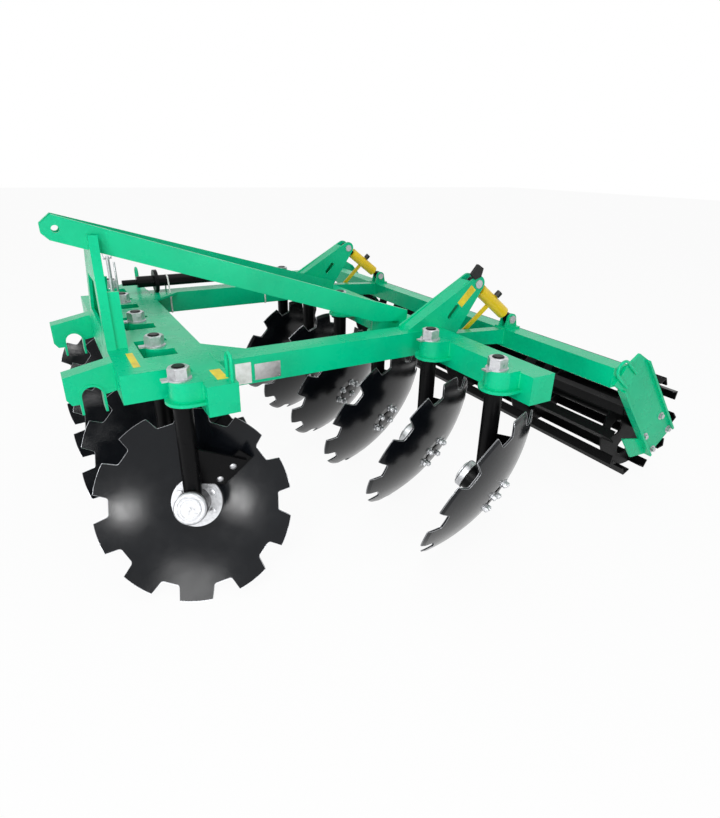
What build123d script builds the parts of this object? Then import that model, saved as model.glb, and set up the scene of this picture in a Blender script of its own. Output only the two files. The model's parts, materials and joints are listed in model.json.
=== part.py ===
from build123d import *
from math import atan2, cos, degrees, hypot, radians, sin, sqrt
import os

# Mounted disc harrow: two rows of single discs on their own posts and a cage roller
# Millimetres and degrees, X forward to the tractor, Y to the left side, Z up from the ground

os.makedirs("parts", exist_ok=True)

# Layout of the two disc rows
stand_pitch = 375.0
row_gap = 959.0
front_count = 5
rear_count = 6
front_row_x = 897.5
rear_row_y = 150.84
rear_row_x = front_row_x - row_gap
front_row_y = rear_row_y - stand_pitch / 2
hitch_y = rear_row_y - stand_pitch / 4

# Frame tubes
tube = 100.0
tube_wall = 8.0
beam_top = 750.0
beam_offset = 58.0
beam_overhang = 93.5
rear_beam_overhang = 110.5
side_beam_spread = 1153.0
web_opening = 210.0
gusset_leg = 130.0
plate = 10.0

# Discs
disc_radius = 330.0
disc_thickness = 6.0
dish_depth = 78.0
disc_flat = 90.0
disc_bore = 40.0
notch_count = 10
notch_depth = 46.0
notch_mouth = 100.0
notch_floor = 62.0
notch_fillet = 12.0
edge_width = 12.0
edge_thickness = 2.5
attack = 23.7
tilt = 22.3
rim_ahead = 23.0

# Hubs and posts
flange_radius = 88.0
flange_thickness = 10.0
housing_radius = 50.0
housing_front = 62.0
cap_radius = 54.0
cap_length = 24.0
cap_face_radius = 37.0
cap_face_proud = 6.0
shaft_radius = 22.0
shaft_fit = 0.05
running_gap = 1.0
post_radius = 31.0
collar_radius = 42.0
collar_height = 12.0
shank_fit = 0.2
thread_radius = 20.5

# Sleeves and nuts
sleeve_radius = 52.0
sleeve_flange_radius = 68.0
sleeve_setback = 16.0
sleeve_lift = 32.0
sleeve_proud = 6.0
sleeve_flange = 10.0
washer_radius = 38.0
washer_thickness = 6.0
washer_tab = 56.0
washer_tab_width = 26.0
nut_flat = 61.0
nut_height = 36.0
thread_proud = 4.0

# Scraper beside each hub, on the hollow side of the disc
scraper_thickness = 8.0

# Hitch: lower hoods with saddles, mast, top-link plates
hitch_spread = 700.0
hood_width = 71.0
hood_plate = 8.0
hood_reach = 158.0
saddle_radius = 33.0
saddle_plate = 8.0
saddle_drop = 62.0
saddle_x = 236.0
saddle_z = 643.0
mast_foot_half = 250.0
mast_top_half = 104.0
mast_top = 1128.0
mast_depth = 32.0
mast_plate = 12.0
mast_lean = 2.0
mast_gusset_depth = 72.0
mast_gusset_height = 190.0
link_plate = 12.0
link_hole_radius = 13.0
link_hole_x = 238.0
link_hole_z = 1146.0
link_gap_half = 34.0
link_tail_half = 340.0
link_tail_x = -990.0
link_depth = 88.0
link_slope = 0.308

# Roller brackets over the side beams' rear ends, and turnbuckles
bracket_plate = 10.0
bracket_half = 40.0
buffer_half = 7.0
bracket_pin_x = -1298.0
bracket_pin_z = 918.0
bracket_pin_radius = 12.0
pivot_x = -1167.0
pivot_z = 683.0
pivot_radius = 15.0
pin_fit = 0.05
open_eye_fit = 3.0
pin_head = 6.0
lug_pin_x = -1540.0
lug_pin_z = 733.0
lug_plate = 10.0
lug_gap_half = 14.0
lug_base = 8.0
lug_base_half = 40.0
eye_thickness = 22.0
eye_radius = 24.0
barrel_radius = 28.0
barrel_start = 58.0
barrel_length = 194.0
rod_radius = 13.0
rod_fit = 0.3
rod_reach = 110.0
lever_down = 183.0
lever_up = 30.0
lever_width = 20.0
lever_thickness = 8.0
lever_swing = 16.0
knob_radius = 14.0
knob_length = 26.0

# Roller frame
roller_tube = 80.0
roller_tube_x = -1540.0
roller_tube_top = 691.0
roller_tube_wall = 6.0
roller_arm_width = 50.0
roller_arm_height = 68.0
roller_plate_y = 1199.5
roller_plate = 10.0
roller_flange = 34.0
web_plate = 8.0
roller_x = -1877.0
roller_z = 337.0

# Cage roller
roller_radius = 234.0
bar_count = 10
bar_leg = 40.0
bar_plate = 6.0
bar_end_gap = 56.0
ring_count = 5
ring_radius = 196.0
ring_plate = 8.0
roller_shaft_radius = 20.0
shaft_end_gap = 2.0
bearing_radius = 52.0
bearing_depth = 36.0

# Hitch axle stored on the right side beam, on its two collars, and a spare pin
axle_radius = 28.0
axle_pin_radius = 14.0
axle_front = -35.0
axle_length = 850.0
axle_pin_length = 70.0
axle_collar_radius = 56.0
axle_collar_inset = 160.0
axle_collar = 18.0
spare_pin_x = 12.0
spare_pin_end = 30.0
spare_pin_radius = 9.0
spare_pin_length = 190.0


# Sizes that follow
beam_bottom = beam_top - tube
main_tube_x = -beam_offset - tube / 2
nose_tube_x = beam_offset + tube / 2
side_beam_y = side_beam_spread / 2
front_row_half = (front_count - 1) / 2 * stand_pitch
rear_row_half = (rear_count - 1) / 2 * stand_pitch
main_tube_length = 2 * (front_row_half + beam_overhang)
nose_tube_length = side_beam_spread + tube
rear_beam_length = 2 * (rear_row_half + rear_beam_overhang)
rear_beam_x = -row_gap - beam_offset - tube / 2
dish_radius = (disc_radius**2 + dish_depth**2) / (2 * dish_depth)
dish_centre = dish_radius - dish_depth
flat_z = dish_centre - sqrt(dish_radius**2 - disc_flat**2)
edge_inner = disc_radius - edge_width
edge_back = dish_centre - sqrt((dish_radius + disc_thickness) ** 2 - edge_inner**2)
rim_z = disc_radius * cos(radians(tilt)) + edge_thickness * sin(radians(tilt))
hub_z = rim_z - rim_ahead * sin(radians(tilt))
front_row_ys = [front_row_y + (i - (front_count - 1) / 2) * stand_pitch for i in range(front_count)]
rear_row_ys = [rear_row_y + (i - (rear_count - 1) / 2) * stand_pitch for i in range(rear_count)]
sleeve_bottom = beam_bottom + sleeve_lift
sleeve_top = beam_top + sleeve_proud
nut_base = sleeve_top + washer_thickness
thread_top = nut_base + nut_height + thread_proud


# Sketch plane square to Y: sketch x runs forward from the front row, sketch y is height
def side_plane(y):
    return Plane(origin=(front_row_x, y, 0), x_dir=(1, 0, 0), z_dir=(0, -1, 0))


# Hub axis of a stand, pointing to the hollow side of its disc; side is 1 in front, -1 behind
def hub_plane(x, y, side):
    axis = Vector(
        sin(radians(attack)) * cos(radians(tilt)),
        side * cos(radians(attack)) * cos(radians(tilt)),
        sin(radians(tilt)),
    )
    down = Vector(0, 0, -1) + axis * axis.Z
    return Plane(origin=(x, y, hub_z), x_dir=down, z_dir=axis)


def box_tube(centre, size, wall):
    with BuildPart() as closed:
        with Locations(centre):
            Box(*size)
            Box(*[side - 2 * wall for side in size], mode=Mode.SUBTRACT)
    return closed.part


def finish(builder, name):
    builder.part.label = name
    export_step(builder.part, f"parts/{name}.step")


# Front beam: rear tube, shorter nose tube and the box webs between them
with BuildPart() as front_beam_main:
    add(
        box_tube(
            (front_row_x + main_tube_x, front_row_y, beam_top - tube / 2),
            (tube, main_tube_length, tube),
            tube_wall,
        )
    )
finish(front_beam_main, "front_beam_main")

with BuildPart() as front_beam_nose:
    add(
        box_tube(
            (front_row_x + nose_tube_x, front_row_y, beam_top - tube / 2),
            (tube, nose_tube_length, tube),
            tube_wall,
        )
    )
finish(front_beam_nose, "front_beam_nose")

web_length = stand_pitch - web_opening
end_web_length = nose_tube_length / 2 - stand_pitch - web_opening / 2
web_rows = [
    (-stand_pitch / 2, web_length),
    (stand_pitch / 2, web_length),
    (stand_pitch + (web_opening + end_web_length) / 2, end_web_length),
    (-stand_pitch - (web_opening + end_web_length) / 2, end_web_length),
]
with BuildPart() as front_beam_webs:
    for offset_y, length in web_rows:
        centre = (front_row_x, front_row_y + offset_y, beam_top - tube / 2)
        add(box_tube(centre, (2 * beam_offset, length, tube), tube_wall))
finish(front_beam_webs, "front_beam_webs")

with BuildPart() as rear_beam:
    add(
        box_tube(
            (front_row_x + rear_beam_x, rear_row_y, beam_top - tube / 2),
            (tube, rear_beam_length, tube),
            tube_wall,
        )
    )
finish(rear_beam, "rear_beam")

side_beam_front = -beam_offset - tube
side_beam_rear = -row_gap - beam_offset
with BuildPart() as side_beams:
    for side in (1, -1):
        centre = (
            front_row_x + (side_beam_front + side_beam_rear) / 2,
            front_row_y + side * side_beam_y,
            beam_top - tube / 2,
        )
        add(box_tube(centre, (side_beam_front - side_beam_rear, tube, tube), tube_wall))
finish(side_beams, "side_beams")

# Corner gussets behind the front beam, flush with the beams' tops
with BuildPart() as frame_gussets:
    with BuildSketch(Plane.XY.offset(beam_top - plate)):
        for side in (1, -1):
            inner_y = front_row_y + side * (side_beam_y - tube / 2)
            corner_x = front_row_x + side_beam_front
            Polygon(
                (corner_x, inner_y),
                (corner_x - gusset_leg, inner_y),
                (corner_x, inner_y - side * gusset_leg),
                align=None,
            )
    extrude(amount=plate)
finish(frame_gussets, "frame_gussets")

# D-shaped post sleeve: round nose forward, flats back to its beam, round flange below
with BuildPart() as sleeve_form:
    for radius, height in (
        (sleeve_radius, sleeve_top - sleeve_bottom),
        (sleeve_flange_radius, sleeve_flange),
    ):
        with BuildSketch(Plane.XY.offset(sleeve_bottom)):
            with Locations((-sleeve_setback, 0)):
                Circle(radius)
            with Locations((-(beam_offset + sleeve_setback) / 2, 0)):
                Rectangle(beam_offset - sleeve_setback, 2 * radius)
            with Locations((-beam_offset - radius, 0)):
                Rectangle(2 * radius, 2 * radius, mode=Mode.SUBTRACT)
        extrude(amount=height)
    with BuildSketch(Plane.XY.offset(sleeve_bottom)):
        Circle(post_radius + shank_fit)
    extrude(amount=sleeve_top - sleeve_bottom, mode=Mode.SUBTRACT)

stand_places = [(front_row_x, y, 1) for y in front_row_ys]
stand_places += [(rear_row_x, y, -1) for y in rear_row_ys]

with BuildPart() as post_sleeves:
    with Locations(*[(x, y, 0) for x, y, side in stand_places]):
        add(sleeve_form.part)
finish(post_sleeves, "post_sleeves")

# Tab washer and hexagon nut on each post's thread
with BuildPart() as washer_form:
    with BuildSketch(Plane.XY.offset(sleeve_top)):
        Circle(washer_radius)
        with Locations((washer_tab / 2, 0)):
            Rectangle(washer_tab, washer_tab_width)
        Circle(thread_radius + shank_fit, mode=Mode.SUBTRACT)
    extrude(amount=washer_thickness)
with BuildPart() as nut_form:
    with BuildSketch(Plane.XY.offset(nut_base)):
        RegularPolygon(nut_flat / 2, 6, major_radius=False)
        Circle(thread_radius + shank_fit, mode=Mode.SUBTRACT)
    extrude(amount=nut_height)
    with BuildSketch(Plane.XZ):
        Polygon(
            (nut_flat / 2 - 1, nut_base + nut_height),
            (nut_flat / 2 + 8, nut_base + nut_height),
            (nut_flat / 2 + 8, nut_base + nut_height - 5),
            align=None,
        )
    revolve(axis=Axis.Z, mode=Mode.SUBTRACT)

with BuildPart() as post_nuts:
    with Locations(*[(x, y, 0) for x, y, side in stand_places]):
        add(washer_form.part)
        add(nut_form.part)
finish(post_nuts, "post_nuts")

# Post of one disc: bearing housing on the tilted hub axis, round post, collar, shank and thread
flange_front = rim_ahead + flat_z + flange_thickness
housing_back = flange_front + running_gap
with BuildPart() as post_form:
    with BuildSketch(hub_plane(0, 0, 1).offset(housing_back)):
        Circle(housing_radius)
    extrude(amount=housing_front - housing_back)
    with BuildSketch(Plane.XY.offset(hub_z)):
        Circle(post_radius)
    extrude(amount=sleeve_bottom - hub_z)
    with BuildSketch(Plane.XY.offset(sleeve_bottom - collar_height)):
        Circle(collar_radius)
    extrude(amount=collar_height)
    with BuildSketch(Plane.XY.offset(sleeve_bottom)):
        Circle(post_radius)
    extrude(amount=sleeve_top - sleeve_bottom)
    with BuildSketch(Plane.XY.offset(sleeve_top)):
        Circle(thread_radius)
    extrude(amount=thread_top - sleeve_top)
    chamfer(faces().sort_by(Axis.Z)[-1].edges(), 3)
    with BuildSketch(hub_plane(0, 0, 1).offset(housing_back)):
        Circle(shaft_radius + shaft_fit)
    extrude(amount=housing_front - housing_back, mode=Mode.SUBTRACT)

# Zinc dust cap pressed on the housing's front
with BuildPart() as cap_form:
    with BuildSketch(hub_plane(0, 0, 1).offset(housing_front)):
        Circle(cap_radius)
    extrude(amount=cap_length)
    chamfer(edges().filter_by(GeomType.CIRCLE).group_by(Axis((0, 0, hub_z), hub_plane(0, 0, 1).z_dir))[-1], 4)
    with BuildSketch(hub_plane(0, 0, 1).offset(housing_front + cap_length)):
        Circle(cap_face_radius)
    extrude(amount=cap_face_proud)

# Scraper bracket plate from the post, with the blade bolted to its far edge
disc_point_inner = (-98, -18, 8)
disc_point_outer = (-212, 30, 134)
bracket_top = (-14, 0, 216)
bracket_low = (-30, 4, 60)
blade_width = 56.0
blade_clearance = 12.0
blade_start = 32.0


def scraper_plane():
    inner = Vector(*disc_point_inner)
    outer = Vector(*disc_point_outer)
    top = Vector(*bracket_top)
    edge = (outer - inner).normalized()
    normal = edge.cross(top - inner).normalized()
    return Plane(origin=inner + Vector(0, 0, hub_z), x_dir=edge, z_dir=normal)


blade_length = (Vector(*disc_point_outer) - Vector(*disc_point_inner)).length
plate_plane = scraper_plane()
top_local = plate_plane.to_local_coords(Vector(*bracket_top) + Vector(0, 0, hub_z))
low_local = plate_plane.to_local_coords(Vector(*bracket_low) + Vector(0, 0, hub_z))
blade_sign = 1 if top_local.Y > 0 else -1
with BuildPart() as scraper_plate_form:
    with BuildSketch(plate_plane):
        Polygon(
            (blade_start + 4, blade_sign * blade_clearance * 2),
            (blade_length - 14, blade_sign * blade_clearance * 2),
            (top_local.X, top_local.Y),
            (low_local.X, low_local.Y),
            align=None,
        )
    extrude(amount=scraper_thickness)
with BuildPart() as scraper_form:
    with BuildSketch(plate_plane):
        Polygon(
            (blade_start, blade_sign * blade_clearance),
            (blade_length, blade_sign * blade_clearance),
            (blade_length, blade_sign * (blade_clearance + blade_width)),
            (blade_start, blade_sign * (blade_clearance + blade_width)),
            align=None,
        )
    extrude(amount=-scraper_thickness)

with BuildPart() as post_and_plate:
    add(post_form.part)
    add(scraper_plate_form.part)
    with BuildSketch(hub_plane(0, 0, 1).offset(housing_back)):
        Circle(shaft_radius + shaft_fit)
    extrude(amount=housing_front - housing_back, mode=Mode.SUBTRACT)


# Copies of one stand's piece on every stand, mirrored on the rear row
def on_stands(form):
    with BuildPart() as row:
        add(form)
        mirror(about=Plane.XZ, mode=Mode.REPLACE)
    return [
        (form if side > 0 else row.part).moved(Location((x, y, 0)))
        for x, y, side in stand_places
    ]


with BuildPart() as disc_posts:
    for piece in on_stands(post_and_plate.part):
        add(piece)
finish(disc_posts, "disc_posts")

with BuildPart() as hub_caps:
    for piece in on_stands(cap_form.part):
        add(piece)
finish(hub_caps, "hub_caps")

with BuildPart() as scrapers:
    for piece in on_stands(scraper_form.part):
        add(piece)
finish(scrapers, "scrapers")


# Height of a dished face at a radius, for a sphere of that radius about the dish centre
def dish_z(radius, sphere):
    return dish_centre - sqrt(sphere**2 - radius**2)


# Notched disc, hollow side up, rim's edge at height 0
with BuildPart() as disc_form:
    with BuildSketch(Plane.XZ):
        with BuildLine():
            mid = (disc_flat + disc_radius) / 2
            back = dish_radius + disc_thickness
            back_mid = (disc_flat + edge_inner) / 2
            Line((disc_bore, flat_z), (disc_flat, flat_z))
            ThreePointArc((disc_flat, flat_z), (mid, dish_z(mid, dish_radius)), (disc_radius, 0))
            Line((disc_radius, 0), (disc_radius, -edge_thickness))
            Line((disc_radius, -edge_thickness), (edge_inner, edge_back))
            ThreePointArc(
                (edge_inner, edge_back),
                (back_mid, dish_z(back_mid, back)),
                (disc_flat, flat_z - disc_thickness),
            )
            Line((disc_flat, flat_z - disc_thickness), (disc_bore, flat_z - disc_thickness))
            Line((disc_bore, flat_z - disc_thickness), (disc_bore, flat_z))
        make_face()
    revolve(axis=Axis.Z)
    with BuildSketch(Plane.XY):
        with PolarLocations(0, notch_count, start_angle=180 / notch_count):
            with Locations((disc_radius, 0)):
                Polygon(
                    (-notch_depth, -notch_floor / 2),
                    (20, -notch_mouth / 2 - 9),
                    (20, notch_mouth / 2 + 9),
                    (-notch_depth, notch_floor / 2),
                    align=None,
                )
        fillet(vertices().filter_by(lambda v: hypot(v.X, v.Y) < disc_radius), notch_fillet)
    extrude(amount=dish_depth / 2, both=True, mode=Mode.SUBTRACT)

# Hub of one disc: flange seated in the dish, spigot through its bore, shaft up the housing
with BuildPart() as hub_form:
    with BuildSketch(Plane.XY.offset(flat_z)):
        Circle(flange_radius)
    extrude(amount=flange_thickness)
    with BuildSketch(Plane.XY.offset(flat_z - disc_thickness)):
        Circle(disc_bore - shank_fit)
    extrude(amount=disc_thickness)
    with BuildSketch(Plane.XY.offset(flat_z + flange_thickness)):
        Circle(shaft_radius)
    extrude(amount=housing_front - flange_front - running_gap)
for row_name, side, row_x, row_ys in (
    ("front", 1, front_row_x, front_row_ys),
    ("rear", -1, rear_row_x, rear_row_ys),
):
    for number, y in enumerate(reversed(row_ys), start=1):
        rim_plane = hub_plane(row_x, y, side).offset(rim_ahead)
        with BuildPart() as disc:
            with Locations(Location(rim_plane)):
                add(disc_form.part)
        finish(disc, f"disc_{row_name}_{number}")
        with BuildPart() as hub:
            with Locations(Location(rim_plane)):
                add(hub_form.part)
        finish(hub, f"hub_{row_name}_{number}")

# Lower hitch hood: plate housing open below, with an inverted-U saddle through it
hood_tip = nose_tube_x + tube / 2 + hood_reach
hood_outline = [
    (nose_tube_x + tube / 2, beam_top),
    (hood_tip, beam_top - 32),
    (hood_tip, beam_top - 109),
    (hood_tip - 15, beam_bottom - 31),
    (saddle_x + saddle_radius + saddle_plate, beam_bottom - 31),
    (saddle_x - saddle_radius - saddle_plate, beam_bottom - 7),
    (nose_tube_x + tube / 2, beam_bottom),
]
with BuildPart() as hitch_hoods:
    for side in (1, -1):
        middle = side_plane(hitch_y + side * hitch_spread / 2)
        with BuildSketch(middle):
            Polygon(*hood_outline, align=None)
        extrude(amount=hood_width / 2, both=True)
        with BuildSketch(middle):
            Polygon(
                (nose_tube_x + tube / 2, beam_bottom - 60),
                (nose_tube_x + tube / 2, beam_top - hood_plate),
                (hood_tip - hood_plate, beam_top - 32 - hood_plate),
                (hood_tip - hood_plate, beam_bottom - 60),
                align=None,
            )
        extrude(amount=hood_width / 2 - hood_plate, both=True, mode=Mode.SUBTRACT)
        with BuildSketch(middle):
            with Locations((saddle_x, saddle_z)):
                Circle(saddle_radius + saddle_plate)
            with Locations((saddle_x, saddle_z - saddle_drop / 2)):
                Rectangle(2 * (saddle_radius + saddle_plate), saddle_drop)
        extrude(amount=hood_width / 2 + 3, both=True)
        with BuildSketch(middle):
            with Locations((saddle_x, saddle_z)):
                Circle(saddle_radius)
            with Locations((saddle_x, saddle_z - saddle_drop / 2 - 1)):
                Rectangle(2 * saddle_radius, saddle_drop + 2)
        extrude(amount=hood_width / 2 + 3, both=True, mode=Mode.SUBTRACT)
finish(hitch_hoods, "hitch_hoods")

# Top-link plates: splayed from the hitch point back to the rear beam
link_run = link_hole_x - link_tail_x
splay = degrees(atan2(link_tail_half - link_gap_half, link_run))
stretch = 1 / cos(radians(splay))


def link_z(x, below=0):
    return link_hole_z + 49 - link_slope * (link_hole_x + 6 - x) - below


link_outline = [
    (link_hole_x + 6, link_hole_z + 49),
    (link_hole_x + 46, link_hole_z + 17),
    (link_hole_x + 46, link_hole_z - 14),
    (link_hole_x + 22, link_hole_z - 38),
    (link_tail_x + 90, link_z(link_tail_x + 90, link_depth)),
    (link_tail_x + 52, beam_top),
    (link_tail_x - 62, beam_top),
    (link_tail_x - 62, link_z(link_tail_x - 62)),
]
link_plates = []
for name, side in (("top_link_plate_left", 1), ("top_link_plate_right", -1)):
    along = Vector(cos(radians(splay)), -side * sin(radians(splay)), 0)
    link_plane = Plane(
        origin=(front_row_x + link_hole_x, hitch_y + side * link_gap_half, 0),
        x_dir=along,
        z_dir=along.cross(Vector(0, 0, 1)),
    )
    with BuildPart() as link:
        with BuildSketch(link_plane):
            Polygon(
                *[((x - link_hole_x) * stretch, z) for x, z in link_outline],
                align=None,
            )
        extrude(amount=link_plate / 2, both=True)
        with BuildSketch(side_plane(hitch_y)):
            with Locations((link_hole_x, link_hole_z)):
                Circle(link_hole_radius)
        extrude(amount=2 * link_gap_half, both=True, mode=Mode.SUBTRACT)
        add(post_sleeves.part, mode=Mode.SUBTRACT)
    link_plates.append(link.part)
    finish(link, name)

# Mast: slanted legs leaning back from the nose tube to the top-link plates, a gusset behind each foot
mast_front = nose_tube_x + tube / 2
lean = radians(mast_lean)
mast_plane = Plane(
    origin=(front_row_x + mast_front, hitch_y, beam_top), x_dir=(0, 1, 0), z_dir=(cos(lean), 0, sin(lean))
)
mast_height = mast_top - beam_top
leg_slope = (mast_foot_half - mast_top_half) / mast_height


def leg_y(height, inset=0):
    return mast_foot_half - inset - leg_slope * height


with BuildPart() as mast:
    with BuildSketch(mast_plane):
        Polygon(
            (-leg_y(0), 0),
            (leg_y(0), 0),
            (leg_y(mast_height), mast_height),
            (-leg_y(mast_height), mast_height),
            align=None,
        )
        Polygon(
            (-mast_foot_half + 74, 60),
            (mast_foot_half - 74, 60),
            (mast_top_half - 8, mast_height - 160),
            (-mast_top_half + 8, mast_height - 160),
            align=None,
            mode=Mode.SUBTRACT,
        )
    extrude(amount=-mast_plate)
    for side in (1, -1):
        for inset, depth, height in (
            (0, mast_depth, mast_height),
            (mast_plate, mast_gusset_depth, mast_gusset_height),
        ):
            with BuildSketch(mast_plane):
                Polygon(
                    (side * leg_y(0, inset), 0),
                    (side * leg_y(0, inset + mast_plate), 0),
                    (side * leg_y(height, inset + mast_plate), height),
                    (side * leg_y(height, inset), height),
                    align=None,
                )
            extrude(amount=-depth)
    with Locations((front_row_x + mast_front, hitch_y, beam_top - tube / 2)):
        Box(2 * tube, 4 * mast_foot_half, tube, mode=Mode.SUBTRACT)
    for link in link_plates:
        add(link, mode=Mode.SUBTRACT)
finish(mast, "mast")

# Rope loops: round bar bent to a U, welded at both feet
loop_bar = 6.0
frame_loop_width = 52.0
frame_loop_leg = 62.0
frame_loop_inset = 37.0
roller_loop_width = 66.0
roller_loop_leg = 86.0


def rope_loop(plane, width, leg):
    with BuildPart() as loop:
        with BuildLine(plane) as route:
            Line((-width / 2, 0), (-width / 2, leg))
            ThreePointArc(
                (-width / 2, leg),
                (0, leg + width / 2),
                (width / 2, leg),
            )
            Line((width / 2, leg), (width / 2, 0))
        with BuildSketch(Plane(origin=route.line @ 0, z_dir=route.line % 0)):
            Circle(loop_bar)
        sweep()
    return loop.part


loop_x = front_row_x + main_tube_x - tube / 2 + 16
with BuildPart() as frame_loops:
    for side in (1, -1):
        loop_y = front_row_y + side * (main_tube_length / 2 - frame_loop_inset)
        foot = Plane(origin=(loop_x, loop_y, beam_top), x_dir=(0, 1, 0), z_dir=(1, 0, 0))
        add(rope_loop(foot, frame_loop_width, frame_loop_leg))
finish(frame_loops, "frame_loops")

# Brackets over the side beams' rear ends: twin plates, spine between them, pivot fork behind
beam_rear = -row_gap - beam_offset - tube
with BuildPart() as roller_brackets:
    for side in (1, -1):
        middle_y = front_row_y + side * side_beam_y
        for plate_side in (1, -1):
            outer = side_plane(middle_y + plate_side * (bracket_half - bracket_plate / 2))
            with BuildSketch(outer):
                with BuildLine():
                    Polyline(
                        (-953, beam_top),
                        (-953, beam_top + 11),
                        (bracket_pin_x + 18.5, bracket_pin_z + 28.5),
                    )
                    ThreePointArc(
                        (bracket_pin_x + 18.5, bracket_pin_z + 28.5),
                        (bracket_pin_x - 26, bracket_pin_z + 22),
                        (bracket_pin_x - 27, bracket_pin_z - 20.6),
                    )
                    Polyline(
                        (bracket_pin_x - 27, bracket_pin_z - 20.6),
                        (pivot_x - 34, pivot_z + 30),
                        (pivot_x - 34, pivot_z),
                    )
                    ThreePointArc(
                        (pivot_x - 34, pivot_z),
                        (pivot_x, pivot_z - 34),
                        (pivot_x + 34, pivot_z - 34 + 1),
                    )
                    Polyline(
                        (pivot_x + 34, pivot_z - 34 + 1),
                        (beam_rear, pivot_z - 33),
                        (beam_rear, beam_top),
                        (-953, beam_top),
                    )
                make_face()
                with Locations((bracket_pin_x, bracket_pin_z)):
                    Circle(bracket_pin_radius + pin_fit, mode=Mode.SUBTRACT)
                with Locations((pivot_x, pivot_z)):
                    Circle(pivot_radius + pin_fit, mode=Mode.SUBTRACT)
                with Locations(Location((-1175, 811, 0), (0, 0, 1), -48)):
                    SlotOverall(72, 22, rotation=0, mode=Mode.SUBTRACT)
            extrude(amount=bracket_plate / 2, both=True)
        with BuildSketch(side_plane(middle_y)):
            Polygon(
                (-962, beam_top),
                (-974, beam_top + 16),
                (bracket_pin_x + 44, bracket_pin_z + 16),
                (bracket_pin_x + 40, bracket_pin_z + 8),
                (-988, beam_top),
                align=None,
            )
        extrude(amount=bracket_half - bracket_plate, both=True)
finish(roller_brackets, "roller_brackets")

# Pins: turnbuckle pin at each bracket's top and pivot pin behind the rear beam
with BuildPart() as bracket_pins:
    for side in (1, -1):
        middle_y = front_row_y + side * side_beam_y
        for x, z, radius in (
            (bracket_pin_x, bracket_pin_z, bracket_pin_radius),
            (pivot_x, pivot_z, pivot_radius),
        ):
            with BuildSketch(side_plane(middle_y)):
                with Locations((x, z)):
                    Circle(radius)
            extrude(amount=bracket_half, both=True)
            for face in (1, -1):
                with BuildSketch(side_plane(middle_y + face * (bracket_half + pin_head / 2))):
                    with Locations((x, z)):
                        Circle(radius * 1.5)
                extrude(amount=pin_head / 2, both=True)
finish(bracket_pins, "bracket_pins")

# Rubber buffer seated on the left bracket's nose
with BuildPart() as bracket_buffer:
    with BuildSketch(side_plane(front_row_y + side_beam_y + bracket_half - 3)):
        with Locations((bracket_pin_x, bracket_pin_z)):
            Polygon((46, 44), (13, 83), (-17, 65), (-8, 30), (24, 20), align=None)
    extrude(amount=buffer_half, both=True)
    add(roller_brackets.part, mode=Mode.SUBTRACT)
finish(bracket_buffer, "bracket_buffer")

# Roller frame: cross tube, two arms to the pivots, end plates with flanges
with BuildPart() as roller_cross_tube:
    add(
        box_tube(
            (front_row_x + roller_tube_x, front_row_y, roller_tube_top - roller_tube / 2),
            (roller_tube, 2 * (roller_plate_y - roller_plate), roller_tube),
            roller_tube_wall,
        )
    )
finish(roller_cross_tube, "roller_cross_tube")

arm_end_x = roller_tube_x + roller_tube / 2
arm_slope = (pivot_z - (roller_tube_top - roller_arm_height / 2)) / (pivot_x - arm_end_x)
with BuildPart() as roller_arms:
    for side in (1, -1):
        with BuildSketch(side_plane(front_row_y + side * side_beam_y)):
            with Locations((pivot_x, pivot_z)):
                Circle(roller_arm_height / 2 - 6)
            Polygon(
                (pivot_x, pivot_z + roller_arm_height / 2 - 6),
                (pivot_x, pivot_z - roller_arm_height / 2 + 6),
                (arm_end_x, roller_tube_top - roller_arm_height),
                (arm_end_x, roller_tube_top),
                align=None,
            )
            with Locations((pivot_x, pivot_z)):
                Circle(pivot_radius + pin_fit, mode=Mode.SUBTRACT)
        extrude(amount=roller_arm_width / 2, both=True)
finish(roller_arms, "roller_arms")

roller_outline = [
    (-1509, 623),
    (-1571, 695),
    (-1627, 732),
    (-1687, 698),
    (-1988, 339),
    (-1861, 228),
    (-1566, 585),
]
with BuildPart() as roller_end_plates:
    for side in (1, -1):
        plate_middle = front_row_y + side * (roller_plate_y - roller_plate / 2)
        with BuildSketch(side_plane(plate_middle)):
            Polygon(*roller_outline, align=None)
        extrude(amount=roller_plate / 2, both=True)
        with BuildSketch(side_plane(plate_middle)):
            Polygon((-1687, 698), (-1988, 339), (-1981, 333), (-1680, 692), align=None)
            Polygon((-1861, 228), (-1566, 585), (-1574, 591), (-1869, 234), align=None)
        extrude(amount=roller_flange / 2, both=True)
        web_y = plate_middle - side * (roller_flange - web_plate) / 2
        with BuildSketch(side_plane(web_y)):
            Polygon((-1668, 347), (-1794, 320), (-1865, 232), (-1754, 240), align=None)
        extrude(amount=web_plate / 2, both=True)
finish(roller_end_plates, "roller_end_plates")

# Clevis lugs on base plates on the cross tube, over the arms
with BuildPart() as roller_lugs:
    for side in (1, -1):
        middle_y = front_row_y + side * side_beam_y
        with Locations((front_row_x + roller_tube_x, middle_y, roller_tube_top + lug_base / 2)):
            Box(roller_tube, 2 * lug_base_half, lug_base)
        for ear in (1, -1):
            with BuildSketch(side_plane(middle_y + ear * (lug_gap_half + lug_plate / 2))):
                with BuildLine():
                    Polyline(
                        (lug_pin_x - 26, lug_pin_z),
                        (lug_pin_x - 36, roller_tube_top),
                        (lug_pin_x + 36, roller_tube_top),
                        (lug_pin_x + 26, lug_pin_z),
                    )
                    ThreePointArc(
                        (lug_pin_x + 26, lug_pin_z),
                        (lug_pin_x, lug_pin_z + 26),
                        (lug_pin_x - 26, lug_pin_z),
                    )
                make_face()
                with Locations((lug_pin_x, lug_pin_z)):
                    Circle(bracket_pin_radius + pin_fit, mode=Mode.SUBTRACT)
            extrude(amount=lug_plate / 2, both=True)
finish(roller_lugs, "roller_lugs")

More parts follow.
